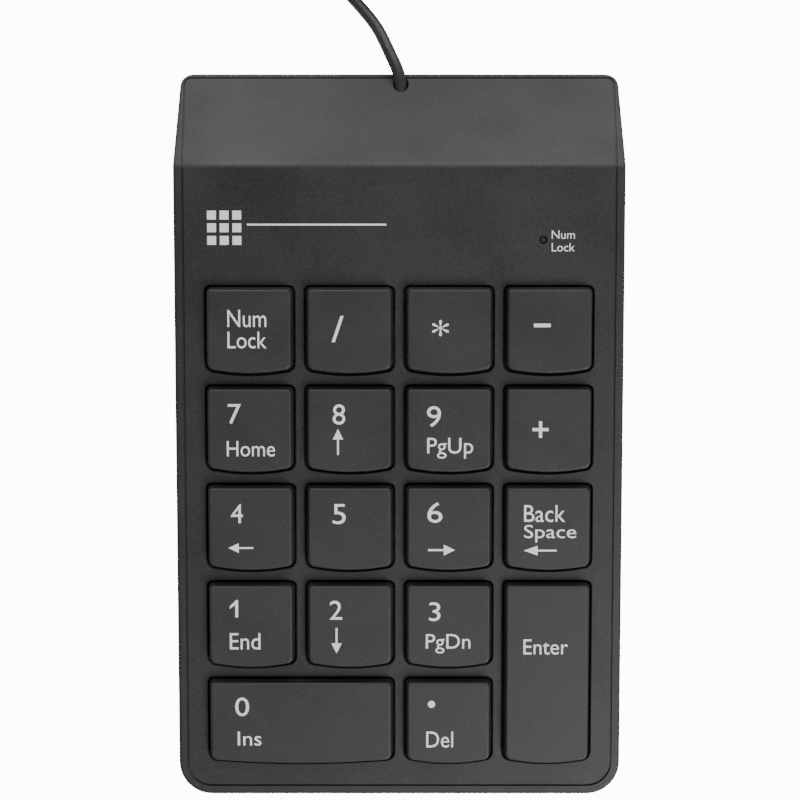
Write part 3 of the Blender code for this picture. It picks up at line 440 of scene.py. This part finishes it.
def groove_cutter():
    path = groove_path()
    rings = []
    for before, here, after in zip(path[-1:] + path[:-1], path, path[1:] + path[:1]):
        along = Vector((after[0] - before[0], after[1] - before[1])).normalized()
        aside = Vector((along.y, -along.x))
        at_rear = here[1] > REAR_Y - 2.0 * MM
        half_width = GROOVE_WIDTH / (3 if at_rear else 2)
        ring = []
        for side, height in ((-1, -GROOVE_DEPTH), (1, -GROOVE_DEPTH), (1, 2 * MM), (-1, 2 * MM)):
            spot = Vector(here) + aside * half_width * side
            ring.append((spot.x, spot.y, roof_z(spot.y) + height))
        rings.append(ring)
    return lofted("groove", rings + rings[:1], False, False)


def key_plan(width, length, grow=0.0, rear_corner=KEY_REAR_CORNER, front_corner=KEY_FRONT_CORNER):
    """A key's plan, grown all round: small rear corners, larger front corners and a bowed front edge."""
    half, rear, front = width / 2 + grow, length / 2 + grow, -length / 2 - grow
    rear_r = max(rear_corner + grow, 0.15 * MM)
    front_r = max(front_corner + grow, 0.15 * MM)
    points = arc((half - rear_r, rear - rear_r), rear_r, 0, 90, 5)
    points += arc((-half + rear_r, rear - rear_r), rear_r, 90, 180, 5)
    low = front + KEY_FRONT_BOW + front_r
    points += arc((-half + front_r, low), front_r, 180, 270, 6)
    for step in range(-4, 5):
        share = step / 5
        points.append((share * (half - front_r), front + KEY_FRONT_BOW * share**2))
    points += arc((half - front_r, low), front_r, 270, 360, 6)
    return points


def key_list():
    """(name, x, u, columns wide, rows long) of every key, from the rear row to the front."""
    names = [
        ["key_num_lock", "key_divide", "key_multiply", "key_minus"],
        ["key_7", "key_8", "key_9", "key_plus"],
        ["key_4", "key_5", "key_6", "key_backspace"],
        ["key_1", "key_2", "key_3"],
    ]
    columns = [(index - 1.5) * PITCH for index in range(4)]
    rows = [FIRST_ROW_U - index * PITCH for index in range(5)]
    keys = []
    for row, row_names in zip(rows, names):
        keys += [(name, x, row, 1, 1) for name, x in zip(row_names, columns)]
    keys.append(("key_enter", columns[3], (rows[3] + rows[4]) / 2, 1, 2))
    keys.append(("key_0", (columns[0] + columns[1]) / 2, rows[4], 2, 1))
    keys.append(("key_decimal", columns[2], rows[4], 1, 1))
    return keys


def key_rings(x, u, across, along, levels, **corners):
    """Rings of a key's plan in world coordinates, from (height, growth) levels on the deck."""
    width, length = SKIRT + (across - 1) * PITCH, SKIRT + (along - 1) * PITCH
    rings = []
    for height, grow in levels:
        plan = key_plan(width, length, grow, **corners)
        rings.append([DECK @ Vector((x + a, u + b, height)) for a, b in plan])
    return rings


def welded_copy(node, name):
    """A copy of a CAD node's mesh with its split corners joined again."""
    mesh = NODES[node].data.copy()
    bm = bmesh.new()
    bm.from_mesh(mesh)
    bmesh.ops.remove_doubles(bm, verts=bm.verts, dist=1e-6)
    bm.to_mesh(mesh)
    bm.free()
    mesh.name = name
    obj = add_object(name, mesh)
    obj.matrix_world = NODES[node].matrix_world.copy()
    return obj


def shaped(obj, cuts):
    """Applies (helper, operation) Booleans in turn and removes the helpers."""
    for helper, operation in cuts:
        modifier = obj.modifiers.new(helper.name, "BOOLEAN")
        modifier.operation = operation
        modifier.object = helper
        modifier.solver = "EXACT"
        modifier.use_self = False
    bpy.context.view_layer.update()
    graph = bpy.context.evaluated_depsgraph_get()
    mesh = bpy.data.meshes.new_from_object(obj.evaluated_get(graph))
    obj.modifiers.clear()
    obj.data = mesh
    for helper, _ in cuts:
        bpy.data.objects.remove(helper)
    return obj


def finished(obj, material, angle=32):
    """Smooth shading that keeps sharp edges and leaves large flat faces flat.

    Each corner's normal is the sum over the faces round its vertex that turn by less than `angle`,
    each weighted by the square of the whole area in the mesh that faces the same way.
    """
    mesh = obj.data
    mesh.materials.clear()
    mesh.materials.append(material)
    facing = {}
    keys = []
    for polygon in mesh.polygons:
        polygon.material_index = 0
        key = tuple(round(value * 150) for value in polygon.normal)
        keys.append(key)
        facing[key] = facing.get(key, 0.0) + polygon.area
    around = [[] for _ in mesh.vertices]
    for polygon in mesh.polygons:
        if polygon.area > 1e-13:
            for index in polygon.vertices:
                around[index].append(polygon.index)
    normals = [polygon.normal.copy() for polygon in mesh.polygons]
    least = math.cos(math.radians(angle))
    corner_normals = []
    for polygon in mesh.polygons:
        own = normals[polygon.index]
        for index in polygon.vertices:
            total = Vector()
            for other in around[index]:
                if normals[other].dot(own) > least:
                    total += normals[other] * facing[keys[other]] ** 2
            corner_normals.append(total.normalized() if total.length > 0 else own)
    mesh.shade_smooth()
    mesh.normals_split_custom_set(corner_normals)
    return obj


def joined(objects, name):
    """One new mesh object from several, which are removed."""
    bm = bmesh.new()
    for obj in objects:
        mesh = obj.data.copy()
        mesh.transform(obj.matrix_world)
        bm.from_mesh(mesh)
        bpy.data.meshes.remove(mesh)
    for obj in objects:
        bpy.data.objects.remove(obj)
    return bm_object(name, bm)


# ---------------------------------------------------------------- case

def make_case():
    top = welded_copy("top_case", "top_case_shell")
    levels = [
        (-1.0 * MM, OPENING_GROW - 0.1 * MM), (-WELL_CHAMFER - SPARE, OPENING_GROW - SPARE),
        (SPARE, OPENING_GROW + WELL_CHAMFER), (1.0 * MM, OPENING_GROW + WELL_CHAMFER),
    ]
    wells = [lofted("well", key_rings(*place, levels, **WELL_CORNERS)) for _, *place in key_list()]
    shaped(top, [
        (case_rim(), "INTERSECT"), (groove_cutter(), "DIFFERENCE"), (joined(wells, "wells"), "DIFFERENCE"),
    ])
    finished(top, SURFACES["case_top"])
    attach(top, "base")
    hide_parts("top_case")

    bottom = welded_copy("bottom_case", "bottom_case_tray")
    shaped(bottom, [(base_rim(), "INTERSECT")])
    finished(bottom, SURFACES["case_bottom"])
    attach(bottom, "base")
    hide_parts("bottom_case")


# ---------------------------------------------------------------- printed signs

def outline_solid(name, loops, low, high):
    """A thin solid on the deck frame from closed loops of (x, u) points, at two heights."""
    bm = bmesh.new()
    for loop in loops:
        rings = [[bm.verts.new(DECK @ Vector((x, u, height))) for x, u in loop] for height in (low, high)]
        for i in range(len(loop)):
            j = (i + 1) % len(loop)
            bm.faces.new((rings[0][i], rings[0][j], rings[1][j], rings[1][i]))
        bm.faces.new(rings[0])
        bm.faces.new(rings[1])
    bmesh.ops.recalc_face_normals(bm, faces=bm.faces)
    return bm_object(name, bm)


def lettering(text, centre, size, low, high):
    """Text in Blender's own font, fitted to a box on the deck frame given by its centre and size."""
    curve = bpy.data.curves.new("lettering", "FONT")
    curve.body = text
    curve.resolution_u = 4
    curve.extrude = 0.5
    source = add_object("lettering", curve)
    bpy.context.view_layer.update()
    graph = bpy.context.evaluated_depsgraph_get()
    mesh = bpy.data.meshes.new_from_object(source.evaluated_get(graph))
    bpy.data.objects.remove(source)
    xs = [vertex.co.x for vertex in mesh.vertices]
    ys = [vertex.co.y for vertex in mesh.vertices]
    spans = (max(xs) - min(xs), max(ys) - min(ys))
    middle = ((max(xs) + min(xs)) / 2, (max(ys) + min(ys)) / 2)
    for vertex in mesh.vertices:
        x = centre[0] + (vertex.co.x - middle[0]) / spans[0] * size[0]
        u = centre[1] + (vertex.co.y - middle[1]) / spans[1] * size[1]
        vertex.co = DECK @ Vector((x, u, high if vertex.co.z > 0 else low))
    mesh.materials.clear()
    bm = bmesh.new()
    bm.from_mesh(mesh)
    bmesh.ops.remove_doubles(bm, verts=bm.verts, dist=1e-7)
    bmesh.ops.recalc_face_normals(bm, faces=bm.faces)
    bm.to_mesh(mesh)
    bm.free()
    return add_object("lettering", mesh)


def arrow(direction, centre, size):
    """A thin arrow that fills a box, as one loop of points."""
    stem = 0.09
    head = 0.4 if direction in ("up", "down") else 0.42
    shape = [
        (-0.5, -stem), (0.5 - head, -stem), (0.5 - head, -0.5), (0.5, 0.0), (0.5 - head, 0.5),
        (0.5 - head, stem), (-0.5, stem),
    ]
    turn = {"right": 0, "up": 90, "left": 180, "down": 270}[direction]
    c, s = round(math.cos(math.radians(turn))), round(math.sin(math.radians(turn)))
    points = [(a * c - b * s, a * s + b * c) for a, b in shape]
    return [(centre[0] + a * size[0], centre[1] + b * size[1]) for a, b in points]


def cross(centre, size, stroke):
    w, h, t = size[0] / 2, size[1] / 2, stroke / 2
    points = [
        (w, t), (t, t), (t, h), (-t, h), (-t, t), (-w, t), (-w, -t), (-t, -t), (-t, -h), (t, -h),
        (t, -t), (w, -t),
    ]
    return [(centre[0] + a, centre[1] + b) for a, b in points]


def figure_one(centre, size):
    """The figure 1 with its flag, filling a box."""
    w, h = size[0] / 2, size[1] / 2
    stem = 0.55 * MM
    points = [
        (w, -h), (w, h), (w - stem * 0.7, h), (-w, h - 1.25 * MM), (-w, h - 1.75 * MM),
        (w - stem, h - 0.95 * MM), (w - stem, -h),
    ]
    return [(centre[0] + a, centre[1] + b) for a, b in points]


def bar(centre, size):
    w, h = size[0] / 2, size[1] / 2
    return [(centre[0] + a, centre[1] + b) for a, b in ((-w, -h), (w, -h), (w, h), (-w, h))]


# (sign, x, u, width, height) from each key's middle, in millimetres
LEGENDS = {
    "key_num_lock": [("Num", -0.4, 2.5, 7.4, 3.3), ("Lock", -0.4, -1.6, 7.4, 3.2)],
    "key_divide": [("/", -2.2, 0.5, 2.3, 5.0)],
    "key_multiply": [("*", -1.7, 0.7, 3.2, 3.1)],
    "key_minus": [("minus", -1.4, 1.2, 3.2, 0.7)],
    "key_plus": [("plus", -1.6, 0.3, 3.1, 3.2)],
    "key_7": [("7", -2.9, 3.3, 2.5, 3.8), ("Home", 0.2, -3.4, 9.2, 3.0)],
    "key_8": [("8", -2.0, 3.2, 2.4, 3.9), ("up", -2.2, -2.1, 2.0, 5.0)],
    "key_9": [("9", -2.9, 2.8, 2.7, 4.0), ("PgUp", 0.2, -3.3, 8.8, 4.0)],
    "key_4": [("4", -2.6, 3.1, 2.3, 3.7), ("left", -1.9, -3.6, 4.8, 1.9)],
    "key_5": [("5", -2.0, 3.0, 2.5, 3.9)],
    "key_6": [("6", -2.7, 3.3, 2.9, 4.0), ("right", -1.4, -4.0, 5.2, 2.1)],
    "key_backspace": [
        ("Back", -0.7, 3.1, 7.9, 3.3), ("Space", 0.4, -0.8, 10.0, 3.4), ("left", -1.5, -4.1, 6.3, 1.9),
    ],
    "key_1": [("1", -3.3, 3.6, 1.6, 3.4), ("End", -1.2, -2.8, 5.9, 3.2)],
    "key_2": [("2", -2.7, 3.3, 2.4, 3.7), ("down", -2.6, -2.7, 2.0, 5.0)],
    "key_3": [("3", -2.7, 3.0, 2.2, 3.7), ("PgDn", -0.1, -3.3, 8.6, 3.8)],
    "key_enter": [("Enter", -0.3, 5.6, 8.6, 3.0)],
    "key_0": [("0", -11.4, 3.3, 2.7, 3.7), ("Ins", -10.0, -3.0, 4.6, 2.8)],
    "key_decimal": [("dot", -3.3, 3.8, 1.7, 1.4), ("Del", -1.7, -3.2, 5.2, 3.2)],
}


def sign(text, centre, size, low, high):
    """A drawn mark for the names that have one, and lettering for the rest."""
    loops = None
    if text in ("up", "down", "left", "right"):
        loops = [arrow(text, centre, size)]
    elif text == "plus":
        loops = [cross(centre, size, SIGN_STROKE)]
    elif text == "minus":
        loops = [bar(centre, size)]
    elif text == "1":
        loops = [figure_one(centre, size)]
    elif text == "dot":
        loops = [arc(centre, size[1] / 2, 0, 345, 23)]
    if loops:
        return outline_solid("sign", loops, low, high)
    return lettering(text, centre, size, low, high)


# ---------------------------------------------------------------- keys

def make_keys():
    """Each cap with a crowned, filleted top, and its legend on a piece of its own that rides with it."""
    for name, x, u, across, along in key_list():
        levels = [
            (SKIRT_LOW, SKIRT_SPARE), (SKIRT_TOP, SKIRT_SPARE), (SKIRT_TOP, SPARE), (0.0, SPARE),
        ]
        for angle in (0, 22.5, 45, 67.5, 90):
            a = math.radians(angle)
            height = KEY_CROWN - KEY_FILLET * (1 - math.sin(a))
            inset = KEY_LEAN * height / KEY_RISE + KEY_FILLET * (1 - math.cos(a))
            levels.append((height, SPARE / 2 - inset))
        cap = welded_copy(name, name + "_cap")
        shaped(cap, [(lofted("key_solid", key_rings(x, u, across, along, levels)), "INTERSECT")])
        finished(cap, SURFACES["key_plastic"])
        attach(cap, name)
        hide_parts(name)
        signs = []
        for text, dx, du, width, height in LEGENDS[name]:
            centre = (x + dx * MM, u + du * MM)
            signs.append(sign(text, centre, (width * MM, height * MM), PRINT_LOW, PRINT_HIGH))
        legend = joined(signs, name + "_legend")
        legend.data.materials.append(PRINT)
        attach(legend, name)


def make_deck_print():
    """A generic keypad pictogram with a thin rule, and the words beside the lamp."""
    low, high = -0.02 * MM, 0.01 * MM
    loops = []
    for row in range(3):
        for column in range(3):
            x = PICTOGRAM_PLACE[0] + (column - 1) * PICTOGRAM_PITCH
            u = PICTOGRAM_PLACE[1] + (row - 1) * PICTOGRAM_PITCH
            loops.append(bar((x, u), (PICTOGRAM_DOT, PICTOGRAM_DOT)))
    loops.append(bar((-15.7 * MM, 40.2 * MM), (26.5 * MM, 0.35 * MM)))
    pictogram = outline_solid("deck_print", loops, low, high)
    words = [
        lettering("Num", (LAMP_WORDS_X, 38.3 * MM), LAMP_WORDS_SIZE, low, high),
        lettering("Lock", (LAMP_WORDS_X, 35.9 * MM), LAMP_WORDS_SIZE, low, high),
    ]
    printed = joined([pictogram] + words, "deck_print")
    printed.data.materials.append(PRINT)
    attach(printed, "base")


# ---------------------------------------------------------------- cord and plug

def smooth_step(share):
    share = min(max(share, 0.0), 1.0)
    return share * share * (3 - 2 * share)


def coil_points():
    """Turns wound in and out in four layers, up to four to a layer, drawn together at the tie."""
    tracks = []
    for index, level in enumerate(COIL_LEVELS):
        radii = COIL_TRACKS if index % 2 == 0 else reversed(COIL_TRACKS)
        tracks += [(radius, level) for radius in radii]
    points = []
    total = COIL_TURNS * 360 + COIL_EXTRA_TURN
    for turned in range(0, total + 1, 10):
        index, part = divmod(turned, 360)
        here = tracks[index]
        after = tracks[min(index + 1, len(tracks) - 1)]
        share = smooth_step((part - 290) / 70)
        radius = here[0] + (after[0] - here[0]) * share
        height = here[1] + (after[1] - here[1]) * share
        angle = 180 - turned
        off = (angle - TIE_ANGLE + 180) % 360 - 180
        squeeze = 1 - TIE_SQUEEZE * math.exp(-((off / TIE_SPREAD) ** 2))
        lift = TIE_LIFT * (1 - squeeze) / TIE_SQUEEZE
        radius = COIL_MIDDLE_RADIUS + (radius - COIL_MIDDLE_RADIUS) * squeeze
        height = COIL_MIDDLE_HEIGHT + lift + (height - COIL_MIDDLE_HEIGHT) * squeeze
        a = math.radians(angle)
        points.append((COIL_CENTRE[0] + radius * math.cos(a), COIL_CENTRE[1] + radius * math.sin(a), height))
    return points


def smooth_points(route, steps):
    """A smooth curve through the points, with `steps` parts between each two."""
    route = [Vector(point) * MM for point in route]
    padded = [2 * route[0] - route[1]] + route + [2 * route[-1] - route[-2]]
    result = []
    for a, b, c, d in zip(padded, padded[1:], padded[2:], padded[3:]):
        for step in range(steps):
            t = step / steps
            result.append(
                0.5 * (2 * b + (c - a) * t + (2 * a - 5 * b + 4 * c - d) * t**2
                       + (3 * b - a - 3 * c + d) * t**3)
            )
    return result + [route[-1]]


def make_cord():
    """The whole lead as one tube: out of the hole, through the coil and on to the plug."""
    curve = bpy.data.curves.new("usb_lead", "CURVE")
    curve.dimensions = "3D"
    curve.bevel_depth = CORD_RADIUS
    curve.bevel_resolution = 3
    curve.use_fill_caps = True
    points = smooth_points(CORD_ROUTE + coil_points() + TAIL_ROUTE, 2)
    spline = curve.splines.new("POLY")
    spline.points.add(len(points) - 1)
    for target, point in zip(spline.points, points):
        target.co = (*point, 1)
    spline.use_smooth = True
    cord = add_object("usb_lead", curve)
    curve.materials.append(SURFACES["cord_jacket"])
    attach(cord, "base")
    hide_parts("usb_cord", "cord_coil", "usb_cord_end")
    return cord


def rounded_section(width, height, radius, centre_z, steps=4):
    """A rounded rectangle in the x-z plane, as (x, z) points about the plug's middle line."""
    points = []
    for index, (sx, sz) in enumerate(((1, 1), (-1, 1), (-1, -1), (1, -1))):
        middle = (sx * (width / 2 - radius), sz * (height / 2 - radius))
        points += arc(middle, radius, 90 * index, 90 * index + 90, steps)
    return [(PLUG_X + a, centre_z + b) for a, b in points]


def section_loft(name, sections):
    """A solid through (y, width, height, radius) sections of the plug."""
    rings = []
    for y, width, height, radius in sections:
        outline = rounded_section(width * MM, height * MM, radius * MM, PLUG_Z)
        rings.append([(x, y * MM, z) for x, z in outline])
    return lofted(name, rings)


def block(name, low, high):
    """A box between two corners."""
    rings = []
    for z in (low[2], high[2]):
        rings.append([(low[0], low[1], z), (high[0], low[1], z), (high[0], high[1], z), (low[0], high[1], z)])
    return lofted(name, rings)


def make_plug():
    """Moulded grip with a ribbed nose, a shell with its two windows, and the contact tongue."""
    grip = section_loft("plug_grip_moulding", [
        (100.72, 10.4, 5.4, 0.9), (100.9, 11.5, 6.5, 1.1), (101.4, 11.96, 6.96, 1.2),
        (113.6, 11.96, 6.96, 1.3), (115.0, 11.4, 6.6, 1.6), (115.6, 10.2, 6.0, 1.9),
        (115.78, 8.6, 5.4, 2.2), (115.8, 5.2, 5.0, 2.4), (116.3, 5.1, 5.0, 2.45), (116.35, 4.4, 4.4, 2.15),
        (116.75, 4.4, 4.4, 2.15), (116.8, 4.9, 4.9, 2.4), (117.2, 4.8, 4.8, 2.35), (117.25, 4.1, 4.1, 2.0),
        (117.6, 4.1, 4.1, 2.0), (117.65, 4.5, 4.5, 2.2), (118.3, 4.3, 4.3, 2.1), (118.55, 3.6, 3.6, 1.75),
    ])
    pads = []
    for low_z, high_z in ((PLUG_Z + 3.3 * MM, 8 * MM), (-2 * MM, PLUG_Z - 3.3 * MM)):
        for step in range(4):
            y = (103.4 + step * 1.5) * MM
            pads.append(block(
                "rib", (PLUG_X - 3.6 * MM, y, low_z), (PLUG_X + 3.6 * MM, y + 0.55 * MM, high_z),
            ))
    shaped(grip, [(joined(pads, "grip_ribs"), "DIFFERENCE")])
    finished(grip, SURFACES["plug_grip"])
    shell = welded_copy("plug_shell", "plug_shell_tube")
    windows = []
    for side in (-1, 1):
        middle = PLUG_X + side * 2.35 * MM
        for low_z, high_z in ((PLUG_Z + 1.5 * MM, 8 * MM), (-2 * MM, PLUG_Z - 1.5 * MM)):
            windows.append(block(
                "window", (middle - 1.15 * MM, 93.2 * MM, low_z), (middle + 1.15 * MM, 95.6 * MM, high_z),
            ))
    shaped(shell, [(joined(windows, "shell_windows"), "DIFFERENCE")])
    finished(shell, SURFACES["bright_metal"])
    tongue = welded_copy("plug_tongue", "plug_tongue_insert")
    finished(tongue, SURFACES["white_nylon"])
    strips = []
    for index, x in enumerate((-3.5, -1.0, 1.0, 3.5)):
        reach = 89.6 if index in (0, 3) else 90.4
        middle = PLUG_X + x * MM
        strips.append(block(
            "strip", (middle - 0.5 * MM, reach * MM, PLUG_Z - 0.19 * MM),
            (middle + 0.5 * MM, 99.8 * MM, PLUG_Z - 0.13 * MM),
        ))
    contacts = joined(strips, "plug_contacts")
    contacts.data.materials.append(CONTACT_GOLD)
    for piece, node, slot in ((grip, "plug_overmould", "plug_grip"), (shell, "plug_shell", "bright_metal"),
                              (tongue, "plug_tongue", "white_nylon")):
        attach(piece, "base")
        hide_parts(node)
    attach(contacts, "base")
    return [grip, shell, tongue, contacts]


def make_tie():
    """The wrapped tie that draws the coil together."""
    tie = welded_copy("coil_tie", "coil_tie_band")
    bevel = tie.modifiers.new("round", "BEVEL")
    bevel.width = 0.25 * MM
    bevel.segments = 2
    bevel.limit_method = "ANGLE"
    bevel.angle_limit = math.radians(60)
    shaped(tie, [])
    finished(tie, SURFACES["cord_jacket"])
    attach(tie, "base")
    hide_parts("coil_tie")
    return tie


# ---------------------------------------------------------------- scene

def make_floor():
    """Pale paper with a glow that only the camera sees, so that the glow doesn't light the object."""
    bm = bmesh.new()
    bmesh.ops.create_grid(bm, x_segments=1, y_segments=1, size=FLOOR_HALF)
    floor = bm_object("floor", bm)
    paper = bpy.data.materials.new("floor_paper")
    paper.use_nodes = True
    shader = paper.node_tree.nodes["Principled BSDF"]
    shader.inputs["Base Color"].default_value = (0.92, 0.92, 0.92, 1.0)
    shader.inputs["Roughness"].default_value = 0.9
    shader.inputs["Emission Color"].default_value = (1.0, 1.0, 1.0, 1.0)
    seen = add_node(paper.node_tree, "LightPath")
    glow = add_node(paper.node_tree, "Math", operation="MULTIPLY")
    glow.inputs[1].default_value = FLOOR_GLOW
    paper.node_tree.links.new(seen.outputs["Is Camera Ray"], glow.inputs[0])
    paper.node_tree.links.new(glow.outputs["Value"], shader.inputs["Emission Strength"])
    floor.data.materials.append(paper)


make_camera()
make_lights()
make_floor()
dress_cad_nodes()
make_case()
make_keys()
make_deck_print()
lead = make_cord()
plug_pieces = make_plug()
tie = make_tie()
